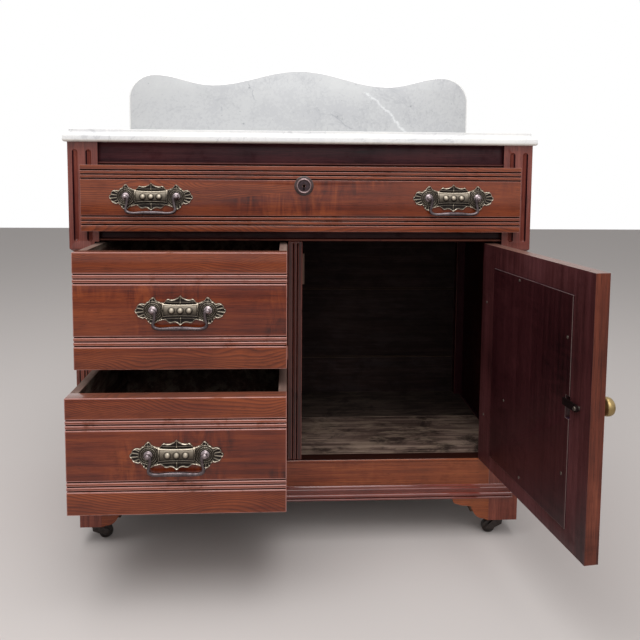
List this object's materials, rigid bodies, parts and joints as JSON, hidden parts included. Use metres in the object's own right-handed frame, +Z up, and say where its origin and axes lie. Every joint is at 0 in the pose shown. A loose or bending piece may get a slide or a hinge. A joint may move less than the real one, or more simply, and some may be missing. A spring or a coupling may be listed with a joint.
{
  "type": "washstand with marble top",
  "caption": "Wooden washstand with a veined marble slab and shaped splashback, a full-width drawer, small drawers beside a hinged cupboard door, bail pulls and casters.",
  "frame": {"origin": "on the floor, under the middle of the stand as drawn, with the open door counted in its depth", "axes": "+Z up, +X to the viewer's right, +Y towards the wall"},
  "size_m": [0.7938, 0.7249, 0.868],
  "materials": {
    "marble": "white marble with grey veins, polished",
    "walnut": "brown straight-grained wood, worn varnish",
    "figured_walnut": "red-brown figured veneer, varnished",
    "secondary_wood": "bare greyish softwood",
    "antique_brass": "stamped brass, dark with age",
    "bronze": "dark cast metal",
    "brass": "golden, worn",
    "steel": "plain, tarnished",
    "dark_iron": "near black, matt"
  },
  "bodies": {
    "cabinet": {"marble_top": "marble", "backsplash": "marble", "left_post": "walnut", "right_post": "walnut", "left_stile": "walnut", "right_stile": "walnut", "centre_stile": "walnut", "frieze_rail": "walnut", "mid_rail": "walnut", "divider_rail": "walnut", "bottom_rail": "walnut", "base_moulding": "walnut", "front_brackets": "walnut", "left_rear_post": "secondary_wood", "right_rear_post": "secondary_wood", "side_rails": "walnut", "left_side_panel": "walnut", "right_side_panel": "walnut", "back_boards": "secondary_wood", "partition": "secondary_wood", "floor_boards": "secondary_wood", "top_runners": "secondary_wood", "lower_runners": "secondary_wood", "foot_blocks": "secondary_wood", "caster_sockets": "dark_iron", "door_stop": "walnut", "case_hinge_leaves": "dark_iron"},
    "top_drawer": {"top_drawer_front": "figured_walnut", "top_drawer_box": "secondary_wood", "top_drawer_bottom": "secondary_wood", "top_left_pull": "antique_brass", "top_right_pull": "antique_brass", "keyhole_ring": "walnut", "lock_case": "brass"},
    "lock_bolt": {"lock_bolt": "brass"},
    "middle_drawer": {"middle_drawer_front": "figured_walnut", "middle_drawer_box": "secondary_wood", "middle_drawer_bottom": "secondary_wood", "middle_pull": "antique_brass"},
    "lower_drawer": {"lower_drawer_front": "figured_walnut", "lower_drawer_box": "secondary_wood", "lower_drawer_bottom": "secondary_wood", "lower_pull": "antique_brass"},
    "top_left_bail": {"top_left_bail": "bronze"},
    "top_right_bail": {"top_right_bail": "bronze"},
    "middle_bail": {"middle_bail": "bronze"},
    "lower_bail": {"lower_bail": "bronze"},
    "door": {"door_frame": "walnut", "door_panel": "figured_walnut", "door_hinge_leaves": "dark_iron"},
    "knob": {"door_knob": "brass", "door_latch": "steel"},
    "front_left_fork": {"front_left_fork": "dark_iron"},
    "front_left_wheel": {"front_left_wheel": "dark_iron"},
    "front_right_fork": {"front_right_fork": "dark_iron"},
    "front_right_wheel": {"front_right_wheel": "dark_iron"},
    "rear_left_fork": {"rear_left_fork": "dark_iron"},
    "rear_left_wheel": {"rear_left_wheel": "dark_iron"},
    "rear_right_fork": {"rear_right_fork": "dark_iron"},
    "rear_right_wheel": {"rear_right_wheel": "dark_iron"}
  },
  "joints": [
    {"name": "top_drawer_slide", "type": "slide", "parent": "cabinet", "child": "top_drawer", "axis": [0, -1, 0], "range_m": [0, 0.24]},
    {"name": "lock_bolt_slide", "type": "slide", "parent": "top_drawer", "child": "lock_bolt", "axis": [0, 0, 1], "range_m": [0, 0.009]},
    {"name": "middle_drawer_slide", "type": "slide", "parent": "cabinet", "child": "middle_drawer", "axis": [0, -1, 0], "range_m": [-0.137, 0.12]},
    {"name": "lower_drawer_slide", "type": "slide", "parent": "cabinet", "child": "lower_drawer", "axis": [0, -1, 0], "range_m": [-0.185, 0.08]},
    {"name": "top_left_bail_hinge", "type": "hinge", "parent": "top_drawer", "child": "top_left_bail", "pos_m": [-0.249, -0.06061, 0.6085], "axis": [-1, 0, 0], "range_deg": [0, 160]},
    {"name": "top_right_bail_hinge", "type": "hinge", "parent": "top_drawer", "child": "top_right_bail", "pos_m": [0.249, -0.06061, 0.6085], "axis": [-1, 0, 0], "range_deg": [0, 160]},
    {"name": "middle_bail_hinge", "type": "hinge", "parent": "middle_drawer", "child": "middle_bail", "pos_m": [-0.1865, -0.16911, 0.4435], "axis": [-1, 0, 0], "range_deg": [0, 160]},
    {"name": "lower_bail_hinge", "type": "hinge", "parent": "lower_drawer", "child": "lower_bail", "pos_m": [-0.1865, -0.21711, 0.241], "axis": [-1, 0, 0], "range_deg": [0, 160]},
    {"name": "door_hinge", "type": "hinge", "parent": "cabinet", "child": "door", "pos_m": [0.33225, -0.02761, 0.3495], "axis": [0, 0, 1], "range_deg": [-98, 32]},
    {"name": "knob_turn", "type": "hinge", "parent": "door", "child": "knob", "pos_m": [0.37134, -0.33087, 0.3495], "axis": [0.9903, 0.1392, 0], "range_deg": [-180, 0]},
    {"name": "front_left_swivel", "type": "hinge", "parent": "cabinet", "child": "front_left_fork", "pos_m": [-0.366, -0.00311, 0.032], "axis": [0, 0, 1], "continuous": true},
    {"name": "front_left_roll", "type": "hinge", "parent": "front_left_fork", "child": "front_left_wheel", "pos_m": [-0.34721, 0.00373, 0.012], "axis": [-0.342, 0.9397, 0], "continuous": true},
    {"name": "front_right_swivel", "type": "hinge", "parent": "cabinet", "child": "front_right_fork", "pos_m": [0.35875, -0.00311, 0.032], "axis": [0, 0, 1], "continuous": true},
    {"name": "front_right_roll", "type": "hinge", "parent": "front_right_fork", "child": "front_right_wheel", "pos_m": [0.33875, -0.00311, 0.012], "axis": [0, -1, 0], "continuous": true},
    {"name": "rear_left_swivel", "type": "hinge", "parent": "cabinet", "child": "rear_left_fork", "pos_m": [-0.3675, 0.33389, 0.032], "axis": [0, 0, 1], "continuous": true},
    {"name": "rear_left_roll", "type": "hinge", "parent": "rear_left_fork", "child": "rear_left_wheel", "pos_m": [-0.36066, 0.35269, 0.012], "axis": [-0.9397, 0.342, 0], "continuous": true},
    {"name": "rear_right_swivel", "type": "hinge", "parent": "cabinet", "child": "rear_right_fork", "pos_m": [0.3675, 0.33389, 0.032], "axis": [0, 0, 1], "continuous": true},
    {"name": "rear_right_roll", "type": "hinge", "parent": "rear_right_fork", "child": "rear_right_wheel", "pos_m": [0.35905, 0.35202, 0.012], "axis": [-0.9063, -0.4226, 0], "continuous": true}
  ]
}
